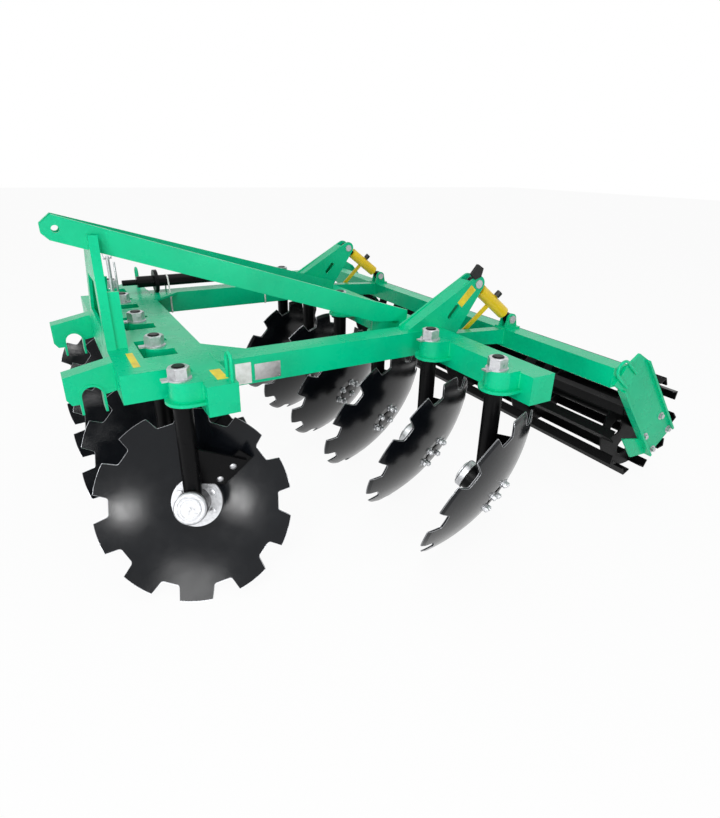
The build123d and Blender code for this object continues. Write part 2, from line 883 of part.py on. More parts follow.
with BuildPart() as lug_pins:
    for side in (1, -1):
        middle_y = front_row_y + side * side_beam_y
        with BuildSketch(side_plane(middle_y)):
            with Locations((lug_pin_x, lug_pin_z)):
                Circle(bracket_pin_radius)
        extrude(amount=lug_gap_half + lug_plate, both=True)
        for face in (1, -1):
            head_y = middle_y + face * (lug_gap_half + lug_plate + pin_head / 2)
            with BuildSketch(side_plane(head_y)):
                with Locations((lug_pin_x, lug_pin_z)):
                    Circle(bracket_pin_radius * 1.5)
            extrude(amount=pin_head / 2, both=True)
finish(lug_pins, "lug_pins")

with BuildPart() as roller_loops:
    for side in (1, -1):
        loop_plane = Plane(
            origin=(front_row_x - 1601, front_row_y + side * (roller_plate_y + loop_bar), 629),
            x_dir=(0.636, 0, -0.773),
            z_dir=(0, -1, 0),
        )
        add(rope_loop(loop_plane, roller_loop_width, roller_loop_leg))
finish(roller_loops, "roller_loops")

# Flanged bearings inside the end plates
with BuildPart() as roller_bearings:
    for side in (1, -1):
        bearing_y = front_row_y + side * (roller_plate_y - roller_plate - bearing_depth / 2)
        with BuildSketch(side_plane(bearing_y)):
            with Locations((roller_x, roller_z)):
                Circle(bearing_radius)
                Circle(roller_shaft_radius + shaft_fit, mode=Mode.SUBTRACT)
        extrude(amount=bearing_depth / 2, both=True)
finish(roller_bearings, "roller_bearings")

# Cage roller: shaft, rings and angle bars round them
bar_half = roller_plate_y - bar_end_gap
with BuildPart() as roller:
    with BuildSketch(side_plane(front_row_y)):
        with Locations((roller_x, roller_z)):
            Circle(roller_shaft_radius)
    extrude(amount=roller_plate_y - roller_plate - shaft_end_gap, both=True)
    ring_span = 2 * (bar_half - 60)
    for index in range(ring_count):
        ring_y = front_row_y - ring_span / 2 + index * ring_span / (ring_count - 1)
        with BuildSketch(side_plane(ring_y)):
            with Locations((roller_x, roller_z)):
                Circle(ring_radius + 12)
                with PolarLocations(ring_radius * 0.6, 5):
                    Circle(38, mode=Mode.SUBTRACT)
        extrude(amount=ring_plate / 2, both=True)
    with BuildSketch(side_plane(front_row_y)):
        with Locations((roller_x, roller_z)):
            with PolarLocations(roller_radius, bar_count):
                with Locations(Rot(0, 0, 135)):
                    with Locations((bar_leg / 2, bar_plate / 2)):
                        Rectangle(bar_leg, bar_plate)
                    with Locations((bar_plate / 2, bar_leg / 2)):
                        Rectangle(bar_plate, bar_leg)
    extrude(amount=bar_half, both=True)
finish(roller, "roller")

# Turnbuckles: barrel with its lever hinged at the bracket pin, lower rod to the clevis
screw = Vector(lug_pin_x - bracket_pin_x, 0, lug_pin_z - bracket_pin_z)
screw_length = screw.length
screw_dir = screw.normalized()
for name, side in (("left", 1), ("right", -1)):
    middle_y = front_row_y + side * side_beam_y
    start = Vector(front_row_x + bracket_pin_x, middle_y, bracket_pin_z)
    screw_plane = Plane(origin=start, x_dir=(0, 1, 0), z_dir=screw_dir)
    eye_plane = Plane(origin=start, x_dir=screw_dir, z_dir=(0, -1, 0))
    middle = start + screw_dir * (barrel_start + barrel_length / 2)
    down_dir = Vector(-screw_dir.Z, 0, screw_dir.X)
    if down_dir.Z > 0:
        down_dir = -down_dir
    swung = down_dir * cos(radians(lever_swing)) - Vector(0, sin(radians(lever_swing)), 0)
    lever_plane = Plane(origin=middle, x_dir=swung, z_dir=swung.cross(screw_dir))
    knob_plane = Plane(origin=middle - swung * lever_up, z_dir=-swung)
    with BuildPart() as barrel:
        with BuildSketch(screw_plane.offset(barrel_start)):
            Circle(barrel_radius)
            Circle(rod_radius + rod_fit, mode=Mode.SUBTRACT)
        extrude(amount=barrel_length)
        with BuildSketch(lever_plane):
            with Locations(((lever_down - lever_up) / 2, 0)):
                Rectangle(lever_down + lever_up, lever_width)
        extrude(amount=lever_thickness / 2, both=True)
    finish(barrel, f"turnbuckle_barrel_{name}")

    with BuildPart() as knob:
        with BuildSketch(knob_plane):
            Circle(knob_radius)
        extrude(amount=knob_length)
        chamfer(faces().sort_by(Axis(middle, knob_plane.z_dir))[-1].edges(), 3)
    finish(knob, f"turnbuckle_knob_{name}")

    for piece, place, inward, hole in (
        ("eye", 0, 1, bracket_pin_radius + pin_fit),
        ("rod", screw_length, -1, bracket_pin_radius + open_eye_fit),
    ):
        with BuildPart() as eye:
            with BuildSketch(eye_plane):
                with Locations((place, 0)):
                    Circle(eye_radius)
            extrude(amount=eye_thickness / 2, both=True)
            with BuildSketch(screw_plane.offset(place + inward * eye_radius / 2)):
                Circle(rod_radius)
            extrude(amount=inward * (rod_reach - eye_radius / 2))
            with BuildSketch(eye_plane):
                with Locations((place, 0)):
                    Circle(hole)
            extrude(amount=eye_thickness, both=True, mode=Mode.SUBTRACT)
        finish(eye, f"turnbuckle_{piece}_{name}")

# Hitch axle laid on the right side beam: stepped round bar on two collars
axle_plane = Plane(
    origin=(
        front_row_x + axle_front,
        front_row_y - side_beam_y,
        beam_top + axle_collar_radius,
    ),
    z_dir=(-1, 0, 0),
)
with BuildPart() as hitch_axle:
    with BuildSketch(axle_plane):
        Circle(axle_pin_radius)
    extrude(amount=axle_length)
    with BuildSketch(axle_plane.offset(axle_pin_length)):
        Circle(axle_radius)
    extrude(amount=axle_length - 2 * axle_pin_length)
    for place in (axle_collar_inset, axle_length - axle_collar_inset):
        with BuildSketch(axle_plane.offset(place - axle_collar / 2)):
            Circle(axle_collar_radius)
        extrude(amount=axle_collar)
finish(hitch_axle, "hitch_axle")

# Spare pin standing on the web behind the nose tube's right end
with BuildPart() as spare_pin:
    spare_pin_y = front_row_y - nose_tube_length / 2 + spare_pin_end
    with BuildSketch(Plane(origin=(front_row_x + spare_pin_x, spare_pin_y, beam_top))):
        Circle(spare_pin_radius)
    extrude(amount=spare_pin_length)
    chamfer(faces().sort_by(Axis.Z)[-1].edges(), 3)
finish(spare_pin, "spare_pin")
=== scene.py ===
import json
import math

import bmesh
import bpy
from mathutils import Matrix, Vector


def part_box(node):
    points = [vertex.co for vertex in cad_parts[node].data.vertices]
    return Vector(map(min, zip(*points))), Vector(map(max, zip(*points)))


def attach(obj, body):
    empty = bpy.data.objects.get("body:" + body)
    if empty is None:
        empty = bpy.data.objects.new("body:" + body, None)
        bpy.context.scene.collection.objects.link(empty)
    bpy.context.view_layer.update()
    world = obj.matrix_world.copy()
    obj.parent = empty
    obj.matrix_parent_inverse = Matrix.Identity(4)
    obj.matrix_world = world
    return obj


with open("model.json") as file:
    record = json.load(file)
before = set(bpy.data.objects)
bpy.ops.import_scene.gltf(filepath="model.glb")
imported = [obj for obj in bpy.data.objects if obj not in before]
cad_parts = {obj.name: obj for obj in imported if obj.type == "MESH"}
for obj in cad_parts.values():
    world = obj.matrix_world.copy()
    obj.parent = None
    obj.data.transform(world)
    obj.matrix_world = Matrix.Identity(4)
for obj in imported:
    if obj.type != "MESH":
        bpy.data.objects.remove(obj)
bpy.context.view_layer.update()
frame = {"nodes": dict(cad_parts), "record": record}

bl_info = {
    "name": "Mounted disc harrow",
    "version": (1, 0, 0),
    "blender": (4, 5, 0),
    "location": "View3D > Sidebar > Harrow",
    "description": "Dresses the packed harrow with paint, fasteners and small fittings",
    "category": "Object",
}

PANEL = "Harrow"
RECORD = frame["record"]
JOINTS = {joint["name"]: joint for joint in RECORD["behaviour"]["joints"]}


# Places shared by several pieces, in metres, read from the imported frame
def joint_place(name):
    return Vector(JOINTS[name]["pos_m"])


def joint_axis(name):
    return Vector(JOINTS[name]["axis"]).normalized()


FRONT_STANDS = [f"disc_front_{n}" for n in range(1, 6)]
REAR_STANDS = [f"disc_rear_{n}" for n in range(1, 7)]
STANDS = FRONT_STANDS + REAR_STANDS
FRONT_X = joint_place("disc_front_1_spin").x
NUT_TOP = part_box("post_nuts")[1].z
BEAM_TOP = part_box("rear_beam")[1].z
BEAM_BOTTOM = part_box("rear_beam")[0].z
SIDES = {
    "left": joint_place("turnbuckle_swing_left").y,
    "right": joint_place("turnbuckle_swing_right").y,
}
MIDDLE_Y = (SIDES["left"] + SIDES["right"]) / 2
BEAM_SPREAD_HALF = (SIDES["left"] - SIDES["right"]) / 2
Y_AXIS = Vector((0, 1, 0))
Z_AXIS = Vector((0, 0, 1))


def spot(x, y, z):
    """Place in metres from the front row, the frame's middle plane and the ground."""
    return Vector((FRONT_X + x, MIDDLE_Y + y, z))


# Frame and rows
ROW_SPACING = 0.959
BEAM_WALL_HALF = 0.05
BRACKET_FACE = 0.04
SLEEVE_FOOT = 0.692
SLEEVE_SEAM_X = -0.058
SLEEVE_SEAM_Y = 0.052
BEAM_SEAMS_X = (-0.158, -1.017)
ARM_SEAM_X = -1.5
ARM_HALF = 0.025
ARM_LOW = 0.623
ARM_HIGH = 0.691

# Post nuts, dust caps and hubs, along each hub's own axis
NUT_RING = (0.0236, 0.0208, -0.0048, -0.0034)
CAP_BACK = 0.062
CAP_FACE = 0.086
CAP_RIM = (0.0485, 0.0405, CAP_FACE - 0.001, CAP_FACE + 0.0022)
CAP_STEP = (0.0345, 0.030, CAP_FACE + 0.0055, CAP_FACE + 0.0082)
CAP_PLUG = (0.0065, CAP_FACE + 0.006, CAP_FACE + 0.0095)
CAP_SEAL = (0.0552, 0.0528, CAP_BACK - 0.0035, CAP_BACK - 0.0005)
FLANGE_FACE = -0.0395
DISC_BACK = -0.0555
HUB_END = 0.043
HUB_END_DEPTH = 0.004
HUB_END_GAP = 0.003

# Discs: bolts, and the bright bead along the outline's sharp edges
DISC_BOLTS = 6
DISC_BOLT_CIRCLE = 0.064
DISC_BOLT_HEAD = 0.42
DISC_NUT_HEIGHT = 0.8
DISC_NUT_END = 1.1
THREAD_SHARE = 0.3
RIM_ANGLE = 0.7
RIM_INSIDE = 0.22
RIM_STEP = 0.02
RIM_SHORTEST = 0.0005
RIM_BEAD = 0.0008
WELD_DISTANCE = 0.00001

# Scrapers: blade corners from the hub, and their two bolts
SCRAPER_CORNERS = ((-0.098, -0.018, 0.008), (-0.212, 0.03, 0.134), (-0.014, 0.0, 0.216))
SCRAPER_BOLT_SHARES = (0.28, 0.66)
SCRAPER_BOLT_INSET = 0.045
SCRAPER_PLATE = 0.008
SCRAPER_DOME = 0.0125
SCRAPER_NUT = (0.019, 0.009, 0.004)

# Roller bearings
BEARING_BOLTS = 4
BEARING_BOLT_CIRCLE = 0.08
BEARING_BOLT_HEAD = 0.55
BEARING_EAR = (0.019, 0, 0.012)
BEARING_WEB = (0.012, 0.03, 0.045)
BEARING_WEB_CIRCLE = 0.06
BEARING_WEB_INSET = 0.006
END_PLATE = 0.01
PLATE_RIM = 0.012

# Bare labels and data plate
LABEL_LIFT = 0.0001
LABEL_DEPTH = 0.0006
PALE_LABEL = ((-0.214, 0.731), (-0.272, 0.731), (-0.272, 0.653), (-0.214, 0.653))
TOP_LABELS = (((-0.141, 0.697), (-0.106, 0.793)), ((0.083, 0.405), (0.106, 0.565)))
BRACKET_LABEL = ((-1.260, 0.917), (-1.286, 0.894), (-1.218, 0.826), (-1.193, 0.848))
DATA_PLATE = (0.098, 0.0014, 0.06)
DATA_PLATE_X = -0.3335
DATA_PLATE_Z = 0.691
RIVET_X = 0.044
RIVET_Z = 0.025
RIVET = (0.0026, 0, 0.0014)

# Cable ties round the side beam and the stored axle
TIE_PLACES = (-0.255, -0.766)
TIE_HALF = 0.054
TIE_SHOULDER = 0.024
TIE_DROP = 0.008
TIE_SLACK = 0.003
TIE_WIDTH = 0.0075
TIE_DEPTH = 0.0016
TIE_HEAD = (0.011, 0.008, 0.012)
TIE_HEAD_X = 0.0037
TIE_HEAD_Z = 0.735
AXLE_COLLAR = 0.056
AXLE_RADIUS = 0.028

# Turnbuckle rods
SCREW_LENGTH = 0.3046
THREAD_PITCH = 0.0035
THREAD_OUTER = 0.01315
THREAD_INNER = 0.0125
THREAD_SPANS = (("eye", 0.026, 0.1), ("rod", 0.205, SCREW_LENGTH - 0.026))

# Stage: lamps are name, place, size and watts
LAMPS = (
    ("Key", (2.6, 3.1, 3.6), 1.8, 75.0),
    ("Fill", (4.6, -1.8, 3.6), 4.0, 25.0),
    ("Top", (-0.8, 0.6, 5.2), 4.0, 60.0),
    ("Side", (1.35, 4.51, 1.13), 0.6, 32.0),
    ("Front", (3.89, 3.14, 0.9), 0.6, 32.0),
)
LAMP_AIM = (-0.2, 0.0, 0.5)
SKY_STRENGTH = 0.35
FLOOR_SIZE = 30
FLOOR_GREY = 0.86
FLOOR_WHITE_SHARE = 0.94
CAMERA_PLACE = Vector((1.21386, 2.36132, 1.3762))
CAMERA_RIGHT = Vector((-0.867186, 0.497567, 0.020377))
CAMERA_DOWN = Vector((0.187174, 0.363589, -0.912562))
CAMERA_LENS = 24.149
CAMERA_FAR = 200
SENSOR = 36.0


# Mesh helpers
def towards(origin, axis, up=(0, 0, 1)):
    axis = Vector(axis).normalized()
    side = Vector(up).cross(axis)
    if side.length < 1e-6:
        side = Vector((1, 0, 0))
    side.normalize()
    matrix = Matrix((side, axis.cross(side), axis)).transposed().to_4x4()
    matrix.translation = Vector(origin)
    return matrix


def hub_place(stand):
    """Frame at a hub, with Z along its axis."""
    return towards(joint_place(f"{stand}_spin"), joint_axis(f"{stand}_spin"))


def add_cylinder(mesh, place, radius, start, end, segments=24, bevel=0.0, tip=None):
    shift = Matrix.Translation((0, 0, (start + end) / 2))
    made = bmesh.ops.create_cone(
        mesh,
        cap_ends=True,
        segments=segments,
        radius1=radius,
        radius2=radius if tip is None else tip,
        depth=end - start,
        matrix=place @ shift,
    )["verts"]
    if bevel:
        rims = {e for v in made for e in v.link_edges if len(e.link_faces) == 2}
        rims = [e for e in rims if any(len(f.verts) > 4 or segments <= 4 for f in e.link_faces)]
        bmesh.ops.bevel(
            mesh, geom=rims, offset=bevel, segments=2, profile=0.5, affect="EDGES", material=-1
        )
    return made


def add_ring(mesh, place, outer, inner, start, end, segments=32, bevel=0.0):
    corner = [(inner, start), (outer, start), (outer, end), (inner, end)]
    verts = [mesh.verts.new(place @ Vector((r, 0, z))) for r, z in corner]
    edges = [mesh.edges.new((verts[i], verts[(i + 1) % 4])) for i in range(4)]
    if bevel:
        cut = bmesh.ops.bevel(
            mesh,
            geom=verts,
            offset=bevel,
            segments=2,
            profile=0.5,
            affect="VERTICES",
            material=-1,
        )
        edges = list({e for v in cut["verts"] for e in v.link_edges})
        verts = list({v for e in edges for v in e.verts})
    bmesh.ops.spin(
        mesh,
        geom=verts + edges,
        cent=place.translation,
        axis=place.col[2].to_3d(),
        angle=math.tau,
        steps=segments,
        use_merge=True,
    )


def add_box(mesh, place, size, bevel=0.0):
    made = bmesh.ops.create_cube(mesh, size=1, matrix=place @ Matrix.Diagonal((*size, 1)))["verts"]
    if bevel:
        edges = list({e for v in made for e in v.link_edges})
        bmesh.ops.bevel(
            mesh, geom=edges, offset=bevel, segments=2, profile=0.5, affect="EDGES", material=-1
        )


def add_tube(mesh, points, radius, segments=8, closed=False):
    rings = []
    count = len(points)
    for i, point in enumerate(points):
        before = points[i - 1] if i or closed else point
        after = points[(i + 1) % count] if i < count - 1 or closed else point
        ring = bmesh.ops.create_circle(
            mesh,
            segments=segments,
            radius=radius,
            matrix=towards(point, Vector(after) - Vector(before), up=(0.31, 0.17, 0.94)),
        )["verts"]
        rings.append(list({e for v in ring for e in v.link_edges}))
    pairs = range(count) if closed else range(count - 1)
    for i in pairs:
        bmesh.ops.bridge_loops(mesh, edges=rings[i] + rings[(i + 1) % count])
    if not closed:
        for ring in (rings[0], rings[-1]):
            bmesh.ops.contextual_create(mesh, geom=ring)


def add_bolt(mesh, place, flat, head, reach=0.0, washer=True):
    """Hexagon head on a washer, with the thread's end standing past it when reach is given."""
    base = 0.0
    if washer:
        add_ring(mesh, place, flat * 0.92, flat * 0.3, 0, flat * 0.13, segments=20)
        base = flat * 0.13
    radius = flat / 2 / math.cos(math.pi / 6)
    add_cylinder(mesh, place, radius, base, base + head, segments=6, bevel=flat * 0.04)
    if reach:
        add_cylinder(mesh, place, flat * 0.3, base + head, base + head + reach, 12, flat * 0.05)


def make_piece(name, mesh, material, body, smooth=35.0):
    bmesh.ops.recalc_face_normals(mesh, faces=mesh.faces)
    for face in mesh.faces:
        face.smooth = True
    for edge in mesh.edges:
        if len(edge.link_faces) == 2:
            edge.smooth = edge.calc_face_angle(0.0) < math.radians(smooth)
    data = bpy.data.meshes.new(name)
    mesh.to_mesh(data)
    mesh.free()
    piece = bpy.data.objects.new(name, data)
    bpy.context.scene.collection.objects.link(piece)
    data.materials.append(material)
    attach(piece, body)
    return piece


# Materials
def new_material(name):
    material = bpy.data.materials.new(name)
    material.use_nodes = True
    nodes = material.node_tree.nodes
    nodes.clear()
    output = nodes.new("ShaderNodeOutputMaterial")
    shader = nodes.new("ShaderNodeBsdfPrincipled")
    material.node_tree.links.new(shader.outputs["BSDF"], output.inputs["Surface"])
    return material, shader


def noise(material, scale, detail=4.0, roughness=0.55, stretch=(1, 1, 1)):
    tree = material.node_tree
    place = tree.nodes.new("ShaderNodeTexCoord")
    turn = tree.nodes.new("ShaderNodeMapping")
    turn.inputs["Scale"].default_value = stretch
    cloud = tree.nodes.new("ShaderNodeTexNoise")
    cloud.inputs["Scale"].default_value = scale
    cloud.inputs["Detail"].default_value = detail
    cloud.inputs["Roughness"].default_value = roughness
    tree.links.new(place.outputs["Object"], turn.inputs["Vector"])
    tree.links.new(turn.outputs["Vector"], cloud.inputs["Vector"])
    return cloud.outputs["Fac"]


def ramp(material, value, stops):
    node = material.node_tree.nodes.new("ShaderNodeValToRGB")
    band = node.color_ramp
    band.elements[0].position, band.elements[0].color = stops[0][0], (*stops[0][1], 1)
    band.elements[1].position, band.elements[1].color = stops[-1][0], (*stops[-1][1], 1)
    for position, color in stops[1:-1]:
        band.elements.new(position).color = (*color, 1)
    material.node_tree.links.new(value, node.inputs["Fac"])
    return node.outputs["Color"]


def spread(material, value, low, high):
    node = material.node_tree.nodes.new("ShaderNodeMapRange")
    node.inputs["From Min"].default_value = 0.3
    node.inputs["From Max"].default_value = 0.7
    node.inputs["To Min"].default_value = low
    node.inputs["To Max"].default_value = high
    material.node_tree.links.new(value, node.inputs["Value"])
    return node.outputs["Result"]


def bump(material, value, depth, strength=1.0):
    node = material.node_tree.nodes.new("ShaderNodeBump")
    node.inputs["Distance"].default_value = depth
    node.inputs["Strength"].default_value = strength
    material.node_tree.links.new(value, node.inputs["Height"])
    return node.outputs["Normal"]


def shade(color, factor):
    return tuple(min(1.0, c * factor) for c in color)


def painted(name, color, rough=0.3, coat=0.4, ripple=0.0002, mottle=0.12, shine=0.4):
    """Sprayed gloss paint: slow colour drift, orange peel and uneven gloss."""
    material, shader = new_material(name)
    drift = noise(material, 3.5, 5)
    peel = noise(material, 260, 2)
    gloss = noise(material, 18, 4)
    color = tuple(color)[:3]
    tints = ramp(
        material,
        drift,
        [(0.3, shade(color, 1 - mottle)), (0.5, color), (0.72, shade(color, 1 + mottle))],
    )
    tree = material.node_tree
    tree.links.new(tints, shader.inputs["Base Color"])
    tree.links.new(spread(material, gloss, rough * 0.8, rough * 1.3), shader.inputs["Roughness"])
    tree.links.new(bump(material, peel, ripple), shader.inputs["Normal"])
    shader.inputs["Specular IOR Level"].default_value = shine
    shader.inputs["Coat Weight"].default_value = coat
    shader.inputs["Coat Roughness"].default_value = 0.1
    return material


def plated(name, color, rough=0.28):
    """Zinc plating on steel: bright, faintly spangled, with fine drawn lines."""
    material, shader = new_material(name)
    spangle = noise(material, 90, 6, 0.7)
    drawn = noise(material, 40, 3, 0.6, (1, 1, 14))
    color = tuple(color)[:3]
    tree = material.node_tree
    stops = [(0.3, shade(color, 0.72)), (0.62, color), (0.8, shade(color, 1.12))]
    tints = ramp(material, spangle, stops)
    tree.links.new(tints, shader.inputs["Base Color"])
    tree.links.new(spread(material, spangle, rough * 0.7, rough * 1.5), shader.inputs["Roughness"])
    tree.links.new(bump(material, drawn, 0.0002), shader.inputs["Normal"])
    shader.inputs["Metallic"].default_value = 0.9
    return material


def moulded(name, color, rough=0.6, grain=0.0004):
    """Moulded rubber or plastic: matt with a fine grain."""
    material, shader = new_material(name)
    fine = noise(material, 420, 3)
    slow = noise(material, 25, 3)
    color = tuple(color)[:3]
    tree = material.node_tree
    tints = ramp(material, slow, [(0.3, shade(color, 0.8)), (0.7, shade(color, 1.25))])
    tree.links.new(tints, shader.inputs["Base Color"])
    tree.links.new(spread(material, slow, rough * 0.85, rough * 1.15), shader.inputs["Roughness"])
    tree.links.new(bump(material, fine, grain), shader.inputs["Normal"])
    return material


FINISHES = {}


def paint_property(name, description, default):
    return bpy.props.FloatVectorProperty(
        name=name,
        description=description,
        subtype="COLOR",
        size=3,
        min=0,
        max=1,
        default=default,
    )


def length_property(name, description, default):
    return bpy.props.FloatProperty(
        name=name, description=description, default=default, unit="LENGTH"
    )


class HarrowColours(bpy.types.PropertyGroup):
    frame_paint: paint_property(
        "Frame paint", "Gloss paint of the beams, mast and roller frame", (0.0, 0.55, 0.265)
    )
    post_paint: paint_property(
        "Post paint",
        "Black gloss paint of the posts, roller and stored axle",
        (0.0035, 0.0035, 0.004),
    )
    disc_lacquer: paint_property(
        "Disc lacquer", "Dark lacquer over the steel of the discs", (0.004, 0.005, 0.007)
    )
    screw_paint: paint_property(
        "Turnbuckle paint", "Yellow paint of the turnbuckle barrels and levers", (0.9, 0.62, 0.01)
    )
    plating: paint_property(
        "Zinc plating", "Colour of nuts, dust caps, pins and hub flanges", (0.6, 0.61, 0.63)
    )


class HarrowSizes(bpy.types.PropertyGroup):
    disc_bolt_flat: length_property(
        "Disc bolt head", "Width across flats of the bolts that hold a disc to its hub", 0.019
    )
    bearing_bolt_flat: length_property(
        "Bearing bolt head", "Width across flats of the bolts round the roller's bearings", 0.019
    )
    weld_bead: length_property(
        "Weld bead", "Radius of the weld beads along the frame's seams", 0.0042
    )


def colours():
    return bpy.context.scene.harrow_colours


def sizes():
    return bpy.context.scene.harrow_sizes


class HARROW_OT_finishes(bpy.types.Operator):
    """Paint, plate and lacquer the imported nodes"""

    bl_idname = "harrow.finishes"
    bl_label = "Finishes"

    def execute(self, context):
        tone = colours()
        FINISHES.update(
            green_paint=painted("Green gloss paint", tone.frame_paint, 0.28, 0.05, shine=0.2),
            black_paint=painted("Black gloss paint", tone.post_paint, 0.3, 0.0, shine=0.1),
            disc_steel=painted("Disc lacquer", tone.disc_lacquer, 0.18, 0.0, 0.0001, shine=0.25),
            zinc_steel=plated("Zinc plating", tone.plating, 0.36),
            yellow_paint=painted("Yellow gloss paint", tone.screw_paint, 0.35, 0.2),
            knob_plastic=moulded("Knob plastic", (0.008, 0.008, 0.008), 0.45),
            buffer_rubber=moulded("Buffer rubber", (0.007, 0.007, 0.007), 0.75),
            pale_label=moulded("Pale label", (0.82, 0.83, 0.8), 0.4, 0.0001),
            grey_plate=plated("Grey plate", (0.5, 0.5, 0.5), 0.45),
            yellow_label=moulded("Yellow label", (0.85, 0.62, 0.03), 0.4, 0.0001),
            bare_steel=plated("Bare steel", (0.42, 0.43, 0.45), 0.3),
            white_nylon=moulded("White nylon", (0.8, 0.8, 0.78), 0.45, 0.0001),
        )
        for subpart in RECORD["subparts"]:
            node = frame["nodes"][subpart["node"]]
            node.data.materials.clear()
            node.data.materials.append(FINISHES[subpart["material_slot"]])
        return {"FINISHED"}


class HARROW_OT_post_tops(bpy.types.Operator):
    """Rings round the thread ends on top of the post nuts"""

    bl_idname = "harrow.post_tops"
    bl_label = "Post tops"

    def execute(self, context):
        mesh = bmesh.new()
        for stand in STANDS:
            place = joint_place(f"{stand}_spin")
            centre = Matrix.Translation((place.x, place.y, NUT_TOP))
            add_ring(mesh, centre, *NUT_RING, 32, 0.0004)
        make_piece("nut_top_rings", mesh, FINISHES["zinc_steel"], "frame")
        return {"FINISHED"}


class HARROW_OT_hub_caps(bpy.types.Operator):
    """Rolled rims and grease plugs on the dust caps, and seal rings on the hub flanges"""

    bl_idname = "harrow.hub_caps"
    bl_label = "Hub caps"

    def execute(self, context):
        mesh = bmesh.new()
        for stand in STANDS:
            place = hub_place(stand)
            add_ring(mesh, place, *CAP_RIM, 48, 0.0007)
            add_ring(mesh, place, *CAP_STEP, 40, 0.0006)
            add_cylinder(mesh, place, *CAP_PLUG, 12, 0.0008)
        make_piece("cap_rims", mesh, FINISHES["zinc_steel"], "frame")
        mesh = bmesh.new()
        for stand in STANDS:
            place = hub_place(stand)
            add_ring(mesh, place, *CAP_SEAL, 48, 0.0005)
        make_piece("cap_seals", mesh, FINISHES["buffer_rubber"], "frame")
        return {"FINISHED"}


class HARROW_OT_disc_bolts(bpy.types.Operator):
    """Bolt heads on each hub flange, nuts behind the disc and a cap on the hub's end"""

    bl_idname = "harrow.disc_bolts"
    bl_label = "Disc bolts"

    def execute(self, context):
        flat = sizes().disc_bolt_flat
        for stand in STANDS:
            mesh = bmesh.new()
            place = hub_place(stand)
            for number in range(DISC_BOLTS):
                turn = Matrix.Rotation(math.tau * (number + 0.5) / DISC_BOLTS, 4, "Z")
                front = place @ turn @ Matrix.Translation((DISC_BOLT_CIRCLE, 0, FLANGE_FACE))
                add_bolt(mesh, front, flat, flat * DISC_BOLT_HEAD)
                behind = place @ turn @ Matrix.Translation((DISC_BOLT_CIRCLE, 0, DISC_BACK))
                behind = behind @ Matrix.Rotation(math.pi, 4, "X")
                nut, end = flat * DISC_NUT_HEIGHT, flat * DISC_NUT_END
                add_bolt(mesh, behind, flat, nut)
                add_cylinder(mesh, behind, flat * THREAD_SHARE, nut, end, 14, 0.0006)
            make_piece(f"{stand}_bolts", mesh, FINISHES["zinc_steel"], stand)
            mesh = bmesh.new()
            end = place @ Matrix.Translation((0, 0, DISC_BACK - HUB_END_GAP))
            add_cylinder(mesh, end, HUB_END, 0, HUB_END_DEPTH, 40, 0.0012)
            make_piece(f"{stand}_hub_end", mesh, FINISHES["black_paint"], stand)
        return {"FINISHED"}


class HARROW_OT_disc_rims(bpy.types.Operator):
    """Bare ground edges round the notched rim of each disc"""

    bl_idname = "harrow.disc_rims"
    bl_label = "Disc rims"

    def execute(self, context):
        for stand in STANDS:
            place = hub_place(stand)
            back = place.inverted()
            outline = bmesh.new()
            outline.from_mesh(frame["nodes"][stand].data)
            bmesh.ops.remove_doubles(outline, verts=outline.verts, dist=WELD_DISTANCE)
            mesh = bmesh.new()
            for edge in outline.edges:
                if len(edge.link_faces) != 2 or edge.calc_face_angle(0.0) < RIM_ANGLE:
                    continue
                ends = [vert.co.copy() for vert in edge.verts]
                local = [back @ end for end in ends]
                if min(math.hypot(end.x, end.y) for end in local) < RIM_INSIDE:
                    continue
                if abs(local[0].z - local[1].z) > RIM_STEP or edge.calc_length() < RIM_SHORTEST:
                    continue
                run = towards(ends[0], ends[1] - ends[0])
                add_cylinder(mesh, run, RIM_BEAD, 0, edge.calc_length(), 4)
            outline.free()
            make_piece(f"{stand}_rim", mesh, FINISHES["bare_steel"], stand)
        return {"FINISHED"}


class HARROW_OT_scraper_bolts(bpy.types.Operator):
    """Two domed bolts with nuts through each scraper blade and its bracket"""

    bl_idname = "harrow.scraper_bolts"
    bl_label = "Scraper bolts"

    def execute(self, context):
        mesh = bmesh.new()
        for stand in STANDS:
            side = 1 if stand in FRONT_STANDS else -1
            hub = joint_place(f"{stand}_spin")
            inner, outer, top = (Vector((x, side * y, z)) for x, y, z in SCRAPER_CORNERS)
            along = (outer - inner).normalized()
            normal = along.cross(top - inner).normalized()
            across = normal.cross(along)
            if across.dot(top - inner) < 0:
                across = -across
            face = normal if normal.y * side > 0 else -normal
            for share in SCRAPER_BOLT_SHARES:
                middle = hub + inner + (outer - inner) * share + across * SCRAPER_BOLT_INSET
                place = towards(middle + face * SCRAPER_PLATE, face)
                dome = bmesh.ops.create_uvsphere(
                    mesh, u_segments=20, v_segments=10, radius=SCRAPER_DOME, matrix=place
                )["verts"]
                bmesh.ops.scale(mesh, verts=dome, vec=(1, 1, 0.5), space=place.inverted())
                back = towards(middle - face * SCRAPER_PLATE, -face)
                add_bolt(mesh, back, *SCRAPER_NUT)
        make_piece("scraper_bolts", mesh, FINISHES["zinc_steel"], "frame")
        return {"FINISHED"}


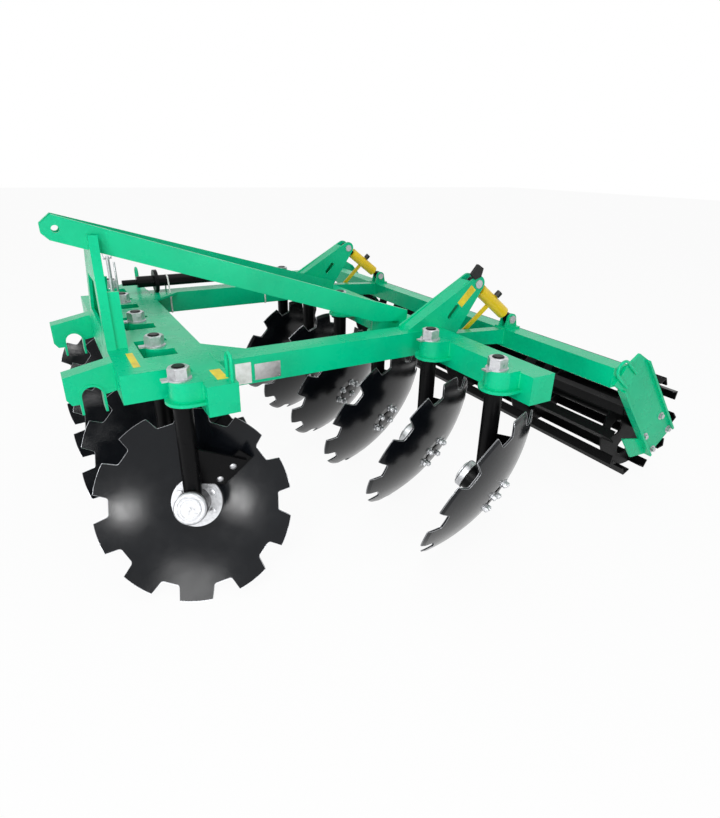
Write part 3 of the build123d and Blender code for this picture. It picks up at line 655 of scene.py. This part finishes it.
class HARROW_OT_roller_bolts(bpy.types.Operator):
    """Bolts round each roller bearing outside the end plate, and the bearing's ears inside"""

    bl_idname = "harrow.roller_bolts"
    bl_label = "Roller bearing bolts"

    def execute(self, context):
        flat = sizes().bearing_bolt_flat
        centre = joint_place("roller_spin")
        low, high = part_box("roller_end_plates")
        faces = ((high.y - PLATE_RIM, 1), (low.y + PLATE_RIM, -1))
        mesh = bmesh.new()
        for outer, side in faces:
            for number in range(BEARING_BOLTS):
                turn = math.tau * number / BEARING_BOLTS
                place = Vector((centre.x, outer, centre.z))
                place += Vector((math.cos(turn), 0, math.sin(turn))) * BEARING_BOLT_CIRCLE
                add_bolt(mesh, towards(place, (0, side, 0)), flat, flat * BEARING_BOLT_HEAD)
        make_piece("bearing_bolts", mesh, FINISHES["zinc_steel"], "roller_frame")
        mesh = bmesh.new()
        for outer, side in faces:
            inner = outer - side * END_PLATE
            for number in range(BEARING_BOLTS):
                turn = math.tau * number / BEARING_BOLTS
                ray = Vector((math.cos(turn), 0, math.sin(turn)))
                ear = Vector((centre.x, inner, centre.z)) + ray * BEARING_BOLT_CIRCLE
                place = towards(ear, (0, -side, 0))
                add_cylinder(mesh, place, *BEARING_EAR, 24, 0.002)
                web = Vector((centre.x, inner - side * BEARING_WEB_INSET, centre.z))
                web += ray * BEARING_WEB_CIRCLE
                add_box(mesh, towards(web, ray, (0, 1, 0)), BEARING_WEB, 0.002)
        make_piece("bearing_ears", mesh, FINISHES["black_paint"], "roller_frame")
        return {"FINISHED"}


def add_label(mesh, corners, normal):
    verts = [mesh.verts.new(corner + normal * LABEL_LIFT) for corner in corners]
    face = mesh.faces.new(verts)
    made = bmesh.ops.extrude_face_region(mesh, geom=[face])["geom"]
    moved = [v for v in made if isinstance(v, bmesh.types.BMVert)]
    bmesh.ops.translate(mesh, verts=moved, vec=normal * LABEL_DEPTH)


class HARROW_OT_plates(bpy.types.Operator):
    """Bare data plate with rivets and bare labels on the frame"""

    bl_idname = "harrow.plates"
    bl_label = "Plates and labels"

    def execute(self, context):
        outer_y = BEAM_SPREAD_HALF + BEAM_WALL_HALF
        mesh = bmesh.new()
        add_label(mesh, [spot(x, outer_y, z) for x, z in PALE_LABEL], Y_AXIS)
        make_piece("pale_label", mesh, FINISHES["pale_label"], "frame")
        mesh = bmesh.new()
        plate = spot(DATA_PLATE_X, outer_y + 0.0008, DATA_PLATE_Z)
        add_box(mesh, Matrix.Translation(plate), DATA_PLATE, 0.0005)
        make_piece("data_plate", mesh, FINISHES["grey_plate"], "frame")
        mesh = bmesh.new()
        for x in (-RIVET_X, RIVET_X):
            for z in (-RIVET_Z, RIVET_Z):
                rivet = towards(plate + Vector((x, 0.0006, z)), Y_AXIS)
                add_cylinder(mesh, rivet, *RIVET, 12, 0.0005)
        make_piece("plate_rivets", mesh, FINISHES["zinc_steel"], "frame")
        mesh = bmesh.new()
        for low, high in TOP_LABELS:
            around = (low, (high[0], low[1]), high, (low[0], high[1]))
            add_label(mesh, [spot(x, y, BEAM_TOP) for x, y in around], Z_AXIS)
        bracket_y = BEAM_SPREAD_HALF + BRACKET_FACE
        add_label(mesh, [spot(x, bracket_y, z) for x, z in BRACKET_LABEL], Y_AXIS)
        make_piece("yellow_labels", mesh, FINISHES["yellow_label"], "frame")
        return {"FINISHED"}


class HARROW_OT_cable_ties(bpy.types.Operator):
    """Nylon ties that hold the stored axle on the right side beam"""

    bl_idname = "harrow.cable_ties"
    bl_label = "Cable ties"

    def execute(self, context):
        mesh = bmesh.new()
        bottom = BEAM_BOTTOM - TIE_SLACK
        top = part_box("hitch_axle")[1].z - (AXLE_COLLAR - AXLE_RADIUS) + TIE_SLACK
        shoulder = top - TIE_DROP
        route = [(-TIE_HALF, bottom), (TIE_HALF, bottom), (TIE_HALF, BEAM_TOP)]
        route += [(TIE_SHOULDER, shoulder), (0, top), (-TIE_SHOULDER, shoulder)]
        route += [(-TIE_HALF, BEAM_TOP)]
        for x in TIE_PLACES:
            loop = [mesh.verts.new(spot(x, -BEAM_SPREAD_HALF + y, z)) for y, z in route]
            edges = [mesh.edges.new((loop[i - 1], loop[i])) for i in range(len(loop))]
            made = bmesh.ops.extrude_edge_only(mesh, edges=edges)["geom"]
            moved = [v for v in made if isinstance(v, bmesh.types.BMVert)]
            bmesh.ops.translate(mesh, verts=moved, vec=(TIE_WIDTH, 0, 0))
        faces = list(mesh.faces)
        bmesh.ops.recalc_face_normals(mesh, faces=faces)
        bmesh.ops.solidify(mesh, geom=faces, thickness=TIE_DEPTH)
        head_y = TIE_HALF + TIE_SLACK - BEAM_SPREAD_HALF
        for x in TIE_PLACES:
            head = Matrix.Translation(spot(x + TIE_HEAD_X, head_y, TIE_HEAD_Z))
            add_box(mesh, head, TIE_HEAD, 0.001)
        make_piece("cable_ties", mesh, FINISHES["white_nylon"], "frame")
        return {"FINISHED"}


def circle_points(place, radius, count):
    turns = (math.tau * i / count for i in range(count))
    return [place @ Vector((radius * math.cos(a), radius * math.sin(a), 0)) for a in turns]


class HARROW_OT_pins(bpy.types.Operator):
    """Linch ring and cross pin on the spare pin, and the thin pin beside it"""

    bl_idname = "harrow.pins"
    bl_label = "Pins and rings"

    def execute(self, context):
        mesh = bmesh.new()
        low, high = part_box("spare_pin")
        middle = (low + high) / 2
        hole = Vector((middle.x, middle.y, high.z - 0.012))
        ring = towards(hole + Vector((0, 0, 0.024)), (0.75, 0.6, 0.1))
        add_tube(mesh, circle_points(ring, 0.029, 28), 0.0026, 8, closed=True)
        cross = towards(hole - Vector((0.02, 0.012, 0)), (0.86, 0.5, 0))
        add_cylinder(mesh, cross, 0.004, 0, 0.046, 12, 0.0006)
        second = Matrix.Translation((middle.x - 0.026, middle.y + 0.006, low.z))
        add_cylinder(mesh, second, 0.005, 0.01, high.z - low.z - 0.03, 12, 0.001)
        make_piece("linch_ring", mesh, FINISHES["zinc_steel"], "frame")
        return {"FINISHED"}


class HARROW_OT_screw_threads(bpy.types.Operator):
    """Threads on the turnbuckle rods"""

    bl_idname = "harrow.screw_threads"
    bl_label = "Turnbuckle threads"

    def execute(self, context):
        for side in SIDES:
            direction = joint_axis(f"turnbuckle_lower_screw_{side}")
            pin = joint_place(f"turnbuckle_swing_{side}")
            place = towards(pin, direction, (0, 1, 0))
            for part, start, end in THREAD_SPANS:
                mesh = bmesh.new()
                for number in range(int((end - start) / THREAD_PITCH)):
                    z = start + number * THREAD_PITCH
                    crest = z + THREAD_PITCH * 0.45
                    add_ring(mesh, place, THREAD_OUTER, THREAD_INNER, z, crest, 20)
                make_piece(
                    f"{part}_thread_{side}",
                    mesh,
                    FINISHES["black_paint"],
                    f"turnbuckle_{part}_{side}",
                )
        return {"FINISHED"}


class HARROW_OT_welds(bpy.types.Operator):
    """Weld beads along the frame's seams"""

    bl_idname = "harrow.welds"
    bl_label = "Welds"

    def execute(self, context):
        bead = sizes().weld_bead
        groups = {"frame": [], "roller_frame": []}
        for side in (1, -1):
            middle = side * BEAM_SPREAD_HALF
            low, high = middle - BEAM_WALL_HALF, middle + BEAM_WALL_HALF
            for x in BEAM_SEAMS_X:
                seam = [(x, low, BEAM_BOTTOM), (x, high, BEAM_BOTTOM)]
                seam += [(x, high, BEAM_TOP), (x, low, BEAM_TOP)]
                groups["frame"].append((seam, False))
            low, high = middle - ARM_HALF, middle + ARM_HALF
            seam = [(ARM_SEAM_X, low, ARM_LOW), (ARM_SEAM_X, high, ARM_LOW)]
            seam += [(ARM_SEAM_X, high, ARM_HIGH), (ARM_SEAM_X, low, ARM_HIGH)]
            groups["roller_frame"].append((seam, True))
        for stand in STANDS:
            x = SLEEVE_SEAM_X - (0.0 if stand in FRONT_STANDS else ROW_SPACING)
            middle = joint_place(f"{stand}_spin").y - MIDDLE_Y
            for y in (middle + SLEEVE_SEAM_Y, middle - SLEEVE_SEAM_Y):
                seam = [(x, y, SLEEVE_FOOT + 0.003), (x, y, BEAM_TOP - 0.004)]
                groups["frame"].append((seam, False))
        for body, seams in groups.items():
            mesh = bmesh.new()
            for points, closed in seams:
                add_tube(mesh, [spot(*p) for p in points], bead, 6, closed)
            make_piece(f"{body}_welds", mesh, FINISHES["green_paint"], body)
        return {"FINISHED"}


class HARROW_OT_stage(bpy.types.Operator):
    """Floor, studio light and camera"""

    bl_idname = "harrow.stage"
    bl_label = "Stage"

    def execute(self, context):
        scene = context.scene
        scene.view_settings.view_transform = "Standard"
        make_floor()
        make_world(scene)
        for lamp in LAMPS:
            make_lamp(*lamp)
        make_camera(scene)
        return {"FINISHED"}


def make_camera(scene):
    data = bpy.data.cameras.new("Photo camera")
    data.sensor_fit = "AUTO"
    data.sensor_width = SENSOR
    data.lens = CAMERA_LENS
    data.clip_end = CAMERA_FAR
    camera = bpy.data.objects.new("Photo camera", data)
    scene.collection.objects.link(camera)
    right = CAMERA_RIGHT.normalized()
    up = -CAMERA_DOWN.normalized()
    matrix = Matrix((right, up, right.cross(up))).transposed().to_4x4()
    matrix.translation = CAMERA_PLACE
    camera.matrix_world = matrix
    scene.camera = camera


def make_lamp(name, place, size, power):
    data = bpy.data.lights.new(name, "AREA")
    data.size = size
    data.energy = power
    lamp = bpy.data.objects.new(name, data)
    bpy.context.scene.collection.objects.link(lamp)
    lamp.matrix_world = towards(place, Vector(place) - Vector(LAMP_AIM))


def ray_switch(tree):
    """1 for rays that look at the backdrop itself, straight, mirrored or refracted."""
    path = tree.nodes.new("ShaderNodeLightPath")
    first = tree.nodes.new("ShaderNodeMath")
    first.operation = "MAXIMUM"
    second = tree.nodes.new("ShaderNodeMath")
    second.operation = "MAXIMUM"
    tree.links.new(path.outputs["Is Camera Ray"], first.inputs[0])
    tree.links.new(path.outputs["Is Glossy Ray"], first.inputs[1])
    tree.links.new(first.outputs["Value"], second.inputs[0])
    tree.links.new(path.outputs["Is Transmission Ray"], second.inputs[1])
    return second.outputs["Value"]


def make_world(scene):
    world = bpy.data.worlds.new("Studio")
    scene.world = world
    world.use_nodes = True
    tree = world.node_tree
    tree.nodes.clear()
    output = tree.nodes.new("ShaderNodeOutputWorld")
    light = tree.nodes.new("ShaderNodeBackground")
    light.inputs["Color"].default_value = (1, 1, 1, 1)
    light.inputs["Strength"].default_value = SKY_STRENGTH
    seen = tree.nodes.new("ShaderNodeBackground")
    seen.inputs["Color"].default_value = (1, 1, 1, 1)
    seen.inputs["Strength"].default_value = 1.0
    mix = tree.nodes.new("ShaderNodeMixShader")
    tree.links.new(ray_switch(tree), mix.inputs["Fac"])
    tree.links.new(light.outputs["Background"], mix.inputs[1])
    tree.links.new(seen.outputs["Background"], mix.inputs[2])
    tree.links.new(mix.outputs["Shader"], output.inputs["Surface"])


def make_floor():
    mesh = bmesh.new()
    bmesh.ops.create_grid(mesh, x_segments=1, y_segments=1, size=FLOOR_SIZE)
    data = bpy.data.meshes.new("Floor")
    mesh.to_mesh(data)
    mesh.free()
    floor = bpy.data.objects.new("Floor", data)
    bpy.context.scene.collection.objects.link(floor)
    material = bpy.data.materials.new("Pale floor")
    material.use_nodes = True
    tree = material.node_tree
    tree.nodes.clear()
    output = tree.nodes.new("ShaderNodeOutputMaterial")
    matt = tree.nodes.new("ShaderNodeBsdfDiffuse")
    matt.inputs["Color"].default_value = (FLOOR_GREY, FLOOR_GREY, FLOOR_GREY, 1)
    white = tree.nodes.new("ShaderNodeEmission")
    white.inputs["Strength"].default_value = 1.0
    share = tree.nodes.new("ShaderNodeMath")
    share.operation = "MULTIPLY"
    share.inputs[1].default_value = FLOOR_WHITE_SHARE
    mix = tree.nodes.new("ShaderNodeMixShader")
    tree.links.new(ray_switch(tree), share.inputs[0])
    tree.links.new(share.outputs["Value"], mix.inputs["Fac"])
    tree.links.new(matt.outputs["BSDF"], mix.inputs[1])
    tree.links.new(white.outputs["Emission"], mix.inputs[2])
    tree.links.new(mix.outputs["Shader"], output.inputs["Surface"])
    data.materials.append(material)


class HARROW_PT_panel(bpy.types.Panel):
    """Sizes, colours and pieces of the harrow"""

    bl_idname = "HARROW_PT_panel"
    bl_label = "Disc harrow"
    bl_space_type = "VIEW_3D"
    bl_region_type = "UI"
    bl_category = PANEL

    def draw(self, context):
        layout = self.layout
        for group in (context.scene.harrow_colours, context.scene.harrow_sizes):
            box = layout.box()
            for name in group.bl_rna.properties.keys():
                if name not in ("rna_type", "name"):
                    box.prop(group, name)
        for operator in OPERATORS:
            layout.operator(operator.bl_idname)


OPERATORS = (
    HARROW_OT_finishes,
    HARROW_OT_post_tops,
    HARROW_OT_hub_caps,
    HARROW_OT_disc_bolts,
    HARROW_OT_disc_rims,
    HARROW_OT_scraper_bolts,
    HARROW_OT_roller_bolts,
    HARROW_OT_plates,
    HARROW_OT_cable_ties,
    HARROW_OT_pins,
    HARROW_OT_screw_threads,
    HARROW_OT_welds,
    HARROW_OT_stage,
)
CLASSES = (HarrowColours, HarrowSizes, *OPERATORS, HARROW_PT_panel)


def register():
    for entry in CLASSES:
        bpy.utils.register_class(entry)
    bpy.types.Scene.harrow_colours = bpy.props.PointerProperty(type=HarrowColours)
    bpy.types.Scene.harrow_sizes = bpy.props.PointerProperty(type=HarrowSizes)


def unregister():
    del bpy.types.Scene.harrow_sizes
    del bpy.types.Scene.harrow_colours
    for entry in reversed(CLASSES):
        bpy.utils.unregister_class(entry)


def main():
    register()
    bpy.ops.harrow.finishes()
    bpy.ops.harrow.post_tops()
    bpy.ops.harrow.hub_caps()
    bpy.ops.harrow.disc_bolts()
    bpy.ops.harrow.disc_rims()
    bpy.ops.harrow.scraper_bolts()
    bpy.ops.harrow.roller_bolts()
    bpy.ops.harrow.plates()
    bpy.ops.harrow.cable_ties()
    bpy.ops.harrow.pins()
    bpy.ops.harrow.screw_threads()
    bpy.ops.harrow.welds()
    bpy.ops.harrow.stage()


if __name__ == "__main__":
    main()
